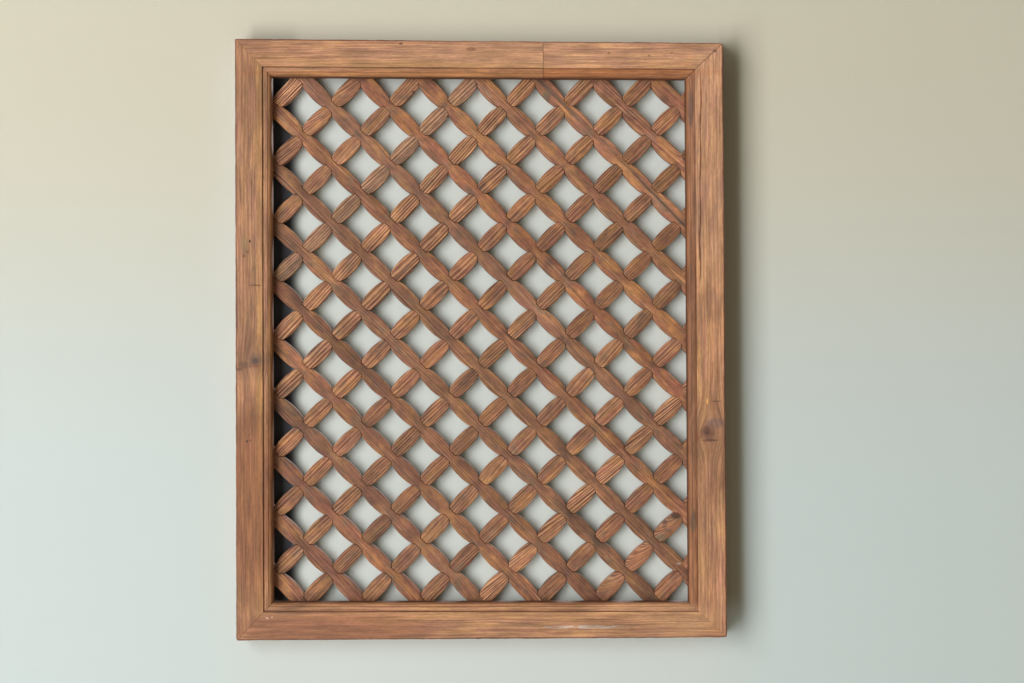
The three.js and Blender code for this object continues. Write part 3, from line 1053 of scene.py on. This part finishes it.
def make_member(node, walk, gaps, looks, board, cut):
    """Makes a frame member between two corners, with its grain, wear and finish."""
    start, end = walk
    corners = [inner[start], inner[end], outer[start], outer[end]]
    points, along = member_points(corners, gaps, cut)
    stile = abs(along[1]) > abs(along[0])
    round_corners(points)
    field, push = knot_field(points, stile)
    split = cut_split(points) if node == "right_stile" else np.zeros(points.shape[:2])
    x, y, z = np.moveaxis(points, -1, 0)
    lengthwise, across = (z, x) if stile else (x, z)
    grain = np.stack([lengthwise, across + push, y], -1) + np.array(board)
    band, share, depth, edge, grime, nose = SECTION.T
    on_moulding = (band < BAND) & (share == 0) & (depth > FRONT + 0.05) & (depth < FRONT + NOSE_END)
    by_place = {
        # The grime column also carries painted shade, and the nose column a painted highlight.
        "edge": edge,
        "grime": grime * looks["grime"],
        "nose": nose * looks["nose_highlight"],
        "shaded": on_moulding * looks["darker_band"],
    }
    values = {name: np.broadcast_to(row, points.shape[:2]) for name, row in by_place.items()}
    values["grime"] = np.maximum(values["grime"], split)
    values |= {"grain": grain, "knot": field, "gold": golden_edge(lengthwise, looks["gold"])}
    mesh = loft(f"{node}_wood", points, values)
    piece = add_object(f"{node}_wood", mesh)
    wear = {"Ridge Depth": looks["ridge_depth"], "Edge Wear": 0.8, "Unevenness": 0.3}
    mesh = run_tree(piece, member_nodes, {**wear, "Material": frame_wood})
    cut_and_close(mesh, in_triangles=True)
    finish_mesh(mesh, {"tone": looks["tone"], "ridging": looks["ridging"]}, MOULDING_ANGLE)
    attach(piece, "root")
    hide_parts(node)
    return piece


TIGHT = 0.12
OPEN = 0.35
OPEN_FOOT = 0.25
BUTT = 0.25
# Per member: ring depth and strength, tone, the yellower strip, the nose's painted highlight, the shaded
# band, and grime with painted shade.
LOOK_NAMES = ("ridge_depth", "ridging", "tone", "gold", "nose_highlight", "darker_band", "grime")
LOOKS = {
    "left_stile": (0.14, 0.3, 0.92, 0.7, 0.4, 0.0, 0.4),
    "right_stile": (0.2, 0.4, 1.12, 0.1, 0.0, 0.7, 1.5),
    "bottom_rail": (0.18, 0.45, 1.0, 0.4, 0.3, 0.0, 1.1),
    "top_rail_left": (0.14, 0.4, 1.01, 0.6, 0.5, 0.0, 1.1),
    "top_rail_right": (0.22, 0.38, 1.12, 0.2, 0.0, 0.65, 1.2),
}
TOP_WALK = [("top_right", "top_left"), (OPEN, TIGHT)]
WALKS = {
    "left_stile": [("top_left", "bottom_left"), (TIGHT, OPEN_FOOT), (100, 40, 0), None],
    "right_stile": [("bottom_right", "top_right"), (TIGHT, OPEN), (900, 300, 0), None],
    "bottom_rail": [("bottom_left", "bottom_right"), (OPEN_FOOT, TIGHT), (1800, 700, 0), None],
    "top_rail_left": TOP_WALK + [(2600, 1100, 0), (RAIL_JOINT - BUTT, False)],
    "top_rail_right": TOP_WALK + [(3400, 1500, 0), (RAIL_JOINT + BUTT, True)],
}
members = [
    make_member(node, walk, gaps, dict(zip(LOOK_NAMES, LOOKS[node])), board, cut)
    for node, (walk, gaps, board, cut) in WALKS.items()
]
for piece in members:
    print(piece.name, len(piece.data.polygons), "faces")

# %% [markdown]
# ## The wall and the floor
#
# The screen hangs against a pale grey-green wall. Its paint is a little bluer low down and in the
# middle: painted light of a second window, which the scene doesn't hold. Two darker strips beside
# the frame are painted shadow. From behind, the wall lets the view through, so that the screen's back
# can be seen.

# %% Stage
WALL_GAP = 0.4
WALL_HALF = 4
WALL_TOP = 3
FLOOR_HALF = 6
FLOOR_Z = -1.45


def plain_paint(name, hex_colour, roughness):
    """Matt paint of one colour."""
    material = bpy.data.materials.new(name)
    material.use_nodes = True
    paint = material.node_tree.nodes["Principled BSDF"]
    paint.inputs["Base Color"].default_value = linear(hex_colour)
    paint.inputs["Roughness"].default_value = roughness
    return material


WALL_COLOUR = "#d0ccba"
LOW = ("Z", 0.0, -0.55)
MIDDLE = ("aside", 0.36, 0.25)
BELOW_TOP = ("Z", 0.06, -0.03)
ABOVE_FOOT = ("Z", -0.7, -0.66)
WALL_PAINTED_LIGHT_AND_SHADE = [
    # Bluer paint low down and in the middle: painted light.
    ("#cad5d5", [LOW]),
    ("#ced6d3", [MIDDLE, BELOW_TOP]),
    # Darker strips behind the left stile and beside the right one: painted shadow.
    ("#3f4146", [("X", -0.22, -0.239), ("X", -0.29, -0.28), ABOVE_FOOT, BELOW_TOP]),
    ("#aba594", [("X", 0.298, 0.303), ("X", 0.332, 0.318), ABOVE_FOOT, BELOW_TOP]),
]


def make_one_sided(material):
    """Paints light and shade onto the wall, each where all its fades are full, and lets the view through
    from behind.
    """
    tree = material.node_tree
    paint = tree.nodes["Principled BSDF"]
    place = add_node(tree, "ShaderNodeTexCoord").outputs["Object"]
    parts = add_node(tree, SEPARATE, {}, {0: place}).outputs
    aside = add_node(tree, MATH, {"operation": "ABSOLUTE"}, {0: parts["X"]}).outputs[0]
    measures = {"X": parts["X"], "Z": parts["Z"], "aside": aside}
    colour = paint.inputs["Base Color"].default_value[:]
    for hex_colour, fades in WALL_PAINTED_LIGHT_AND_SHADE:
        mask = 1.0
        for measure, start, full in fades:
            fade = {"Value": measures[measure], "From Min": start, "From Max": full}
            mask = add_node(tree, MATH, MULTIPLY, {0: add_node(tree, MAP_RANGE, SMOOTH, fade), 1: mask})
        painted_light = {0: mask, 6: colour, 7: linear(hex_colour)}
        colour = add_node(tree, MIX, OF_COLOURS, painted_light).outputs[2]
    tree.links.new(colour, paint.inputs["Base Color"])
    side = add_node(tree, "ShaderNodeNewGeometry").outputs["Backfacing"]
    clear = add_node(tree, "ShaderNodeBsdfTransparent")
    either = add_node(tree, "ShaderNodeMixShader", {}, {0: side, 1: paint, 2: clear})
    tree.links.new(either.outputs[0], tree.nodes["Material Output"].inputs["Surface"])


def stage_plane(name, corners, material):
    """One flat face of the stage."""
    mesh = bpy.data.meshes.new(name)
    mesh.from_pydata(corners, [], [(0, 1, 2, 3)])
    mesh.materials.append(material)
    plane = add_object(name, mesh)
    return plane


wall_paint = plain_paint("matt_wall_paint", WALL_COLOUR, 0.9)
make_one_sided(wall_paint)
floor_paint = plain_paint("matt_floor_paint", "#cfcdc6", 0.85)
wall_y = BACK * MM + WALL_GAP * MM
wall_outline = [(-1, FLOOR_Z), (1, FLOOR_Z), (1, WALL_TOP), (-1, WALL_TOP)]
wall = stage_plane("wall", [(x * WALL_HALF, wall_y, z) for x, z in wall_outline], wall_paint)
wall.visible_shadow = False
floor_outline = [(-1, -1), (1, -1), (1, 1), (-1, 1)]
floor_corners = [(x * FLOOR_HALF, y * FLOOR_HALF, FLOOR_Z) for x, y in floor_outline]
floor = stage_plane("floor", floor_corners, floor_paint)
floor.visible_shadow = False

# %% [markdown]
# ## A flag beside the screen
#
# A flag is a studio's name for a board that only shades. This one stands along the screen's right
# edge, and makes its shadow on the wall deeper and wider. The camera doesn't see it.

# %% Flag
FLAG_DEPTH = 16.0
FLAG_GAP = 0.5
flag_x = cad_high.x + FLAG_GAP * MM
flag_front = (FRONT - FLAG_DEPTH) * MM
flag_outline = [(flag_front, cad_low.z), (cad_high.y, cad_low.z), (cad_high.y, cad_high.z)]
flag_outline.append((flag_front, cad_high.z))
flag = stage_plane("flag", [(flag_x, y, z) for y, z in flag_outline], floor_paint)
flag.visible_camera = False
flag.visible_diffuse = False
flag.visible_glossy = False

# %% [markdown]
# ## Light
#
# A tall window to the left gives the soft, slanting light that shows relief and throws the
# screen's shadow to the right. A weak even light fills the shadows, and a second one behind the
# wall serves the views of the back.

# %% Window, fill and camera
centre = Vector(((cad_low.x + cad_high.x) / 2, cad_low.y, (cad_low.z + cad_high.z) / 2))


def soft_light(name, direction, distance, size, power, bounces):
    """An area light that looks at the middle of the screen, and how often its light may bounce."""
    data = bpy.data.lights.new(name, "AREA")
    data.cycles.max_bounces = bounces
    data.shape = "RECTANGLE"
    data.size, data.size_y = size
    data.energy = power
    light = bpy.data.objects.new(name, data)
    away = Vector(direction).normalized()
    light.location = centre + away * distance
    light.rotation_euler = away.to_track_quat("Z", "Y").to_euler()
    bpy.context.scene.collection.objects.link(light)
    return light


soft_light("window", (-0.72, -1, -0.03), distance=4.5, size=(2.3, 7), power=252, bounces=6)
soft_light("light_behind", (0.3, 1, 0.5), distance=2.6, size=(1.6, 1.6), power=45, bounces=0)

world = bpy.data.worlds.new("room")
world.use_nodes = True
world.node_tree.nodes["Background"].inputs["Color"].default_value = linear("#efe3c8")
world.node_tree.nodes["Background"].inputs["Strength"].default_value = 0.25
bpy.context.scene.world = world
bpy.context.scene.view_settings.view_transform = "Standard"

CAMERA_PLACE = (3.7, -1874.6, -373.6)
AIM = (0.0186, 0.9997, 0.0137)
ROLL = 0.27
LENS = 52.73
SENSOR = 36

camera_data = bpy.data.cameras.new("camera")
camera_data.lens = LENS
camera_data.sensor_width = SENSOR
camera = bpy.data.objects.new("camera", camera_data)
camera.location = Vector(CAMERA_PLACE) * MM
aimed = Vector(AIM).to_track_quat("-Z", "Y")
camera.rotation_mode = "QUATERNION"
camera.rotation_quaternion = aimed @ Quaternion((0, 0, 1), -math.radians(ROLL))
bpy.context.scene.collection.objects.link(camera)
bpy.context.scene.camera = camera
